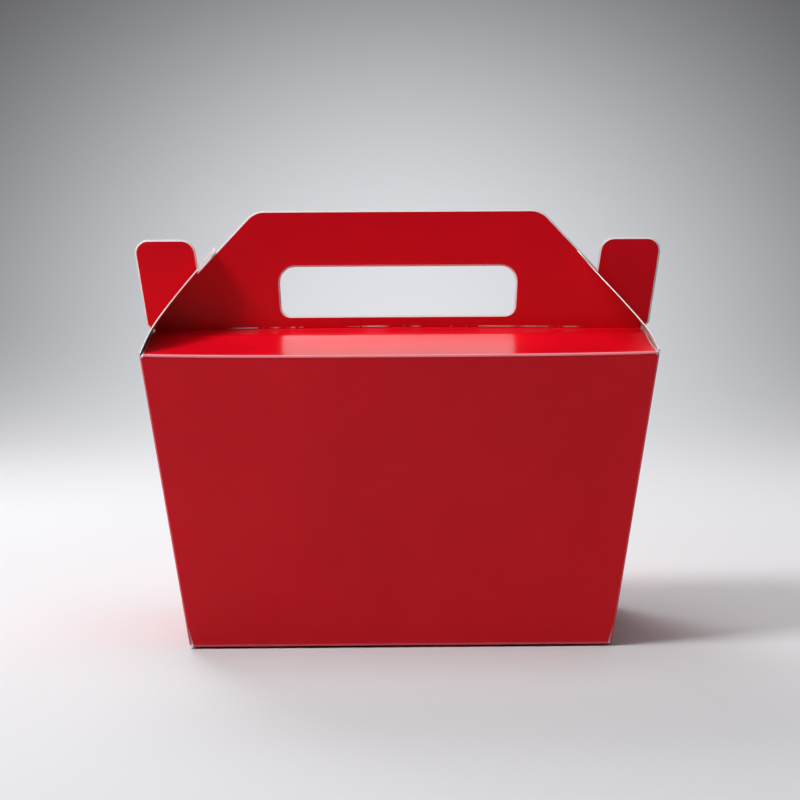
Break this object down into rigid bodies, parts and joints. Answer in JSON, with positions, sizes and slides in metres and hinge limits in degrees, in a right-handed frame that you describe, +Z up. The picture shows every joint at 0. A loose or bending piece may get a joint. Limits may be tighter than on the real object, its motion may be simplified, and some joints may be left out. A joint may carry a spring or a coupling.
{
  "type": "gable cookie box",
  "caption": "Folded gable box of red coated board with flared walls, a low roof, a slotted two-ply carrying handle with ears, and two side flaps.",
  "frame": {"origin": "middle of the underside, on the surface that the box stands on", "axes": "+X to the right along the box's width, +Y to the back, +Z up"},
  "size_m": [0.241, 0.112, 0.194],
  "materials": {
    "red_board": "gloss coated board, red outside and white inside, with white cut edges"
  },
  "bodies": {
    "box": {"carton": "red_board"},
    "left_flap": {"side_flap_left": "red_board"},
    "right_flap": {"side_flap_right": "red_board"}
  },
  "joints": [
    {"name": "left_flap_hinge", "type": "hinge", "parent": "box", "child": "left_flap", "pos_m": [-0.115, 0, 0.135], "axis": [0, -1, 0], "range_deg": [0, 200]},
    {"name": "right_flap_hinge", "type": "hinge", "parent": "box", "child": "right_flap", "pos_m": [0.115, 0, 0.135], "axis": [0, 1, 0], "range_deg": [0, 200]}
  ]
}
